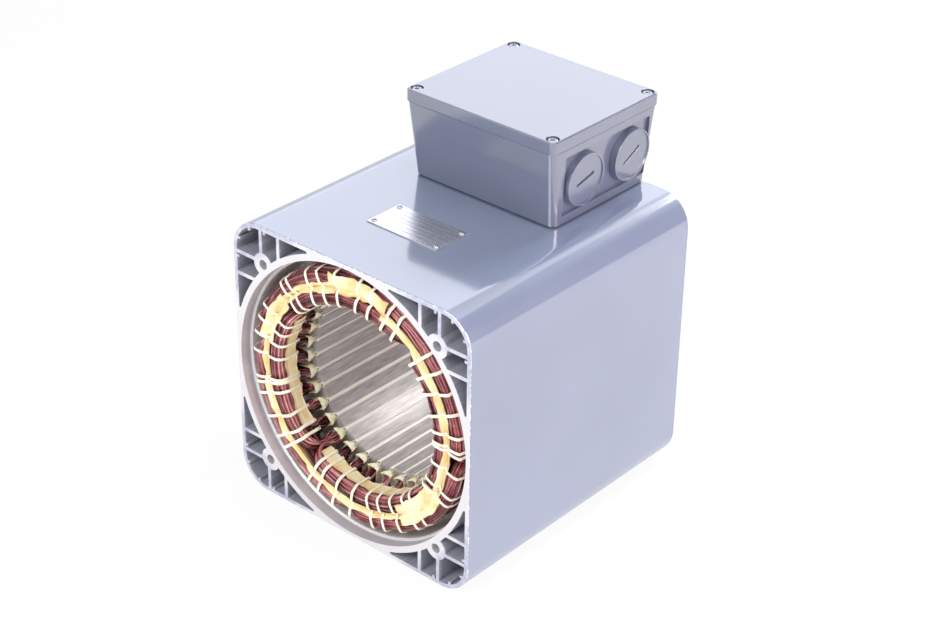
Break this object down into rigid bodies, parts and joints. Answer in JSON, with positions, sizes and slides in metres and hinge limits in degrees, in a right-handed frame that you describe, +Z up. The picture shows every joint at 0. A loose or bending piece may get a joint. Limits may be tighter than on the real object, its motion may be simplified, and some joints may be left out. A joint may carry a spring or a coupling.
{
  "type": "electric motor stator",
  "caption": "Square extruded motor housing with a slotted, wound and laced stator core inside, tapped end faces and a terminal box with plugged cable entries on top.",
  "frame": {"origin": "middle of the housing's flat base, on the surface that it stands on", "axes": "+Z up, the shaft axis along Y with the open front end facing -Y, +X to the right seen from the front, where the cable entries are"},
  "size_m": [0.2, 0.2198, 0.2622],
  "materials": {
    "painted_housing": "semi-gloss blue-grey paint on an aluminium extrusion, bare machined end faces",
    "painted_box": "semi-gloss blue-grey paint on a casting",
    "core_steel": "stacked electrical steel sheets with a thin coating",
    "enamelled_copper": "glossy dark red enamel on round copper wire",
    "slot_film": "cream insulating sheet",
    "phase_paper": "varnished yellow insulating paper",
    "lacing_cord": "flat woven cord",
    "gasket_rubber": "matte black rubber",
    "plate_metal": "bright rolled sheet"
  },
  "bodies": {
    "root": {"housing": "painted_housing", "lamination_stack": "core_steel", "slot_liners": "slot_film", "closing_strips": "slot_film", "coil_sides": "enamelled_copper", "front_winding_inner_tier": "enamelled_copper", "front_winding_outer_tier": "enamelled_copper", "front_winding_back_tier": "enamelled_copper", "front_phase_paper": "phase_paper", "front_inner_papers": "phase_paper", "front_lacing": "lacing_cord", "rear_winding_inner_tier": "enamelled_copper", "rear_winding_outer_tier": "enamelled_copper", "rear_winding_back_tier": "enamelled_copper", "rear_phase_paper": "phase_paper", "rear_inner_papers": "phase_paper", "rear_lacing": "lacing_cord", "terminal_box_gasket": "gasket_rubber", "terminal_box": "painted_box", "terminal_box_lid": "painted_box", "blanking_plug_front": "painted_box", "blanking_plug_rear": "painted_box", "nameplate": "plate_metal"}
  },
  "joints": []
}
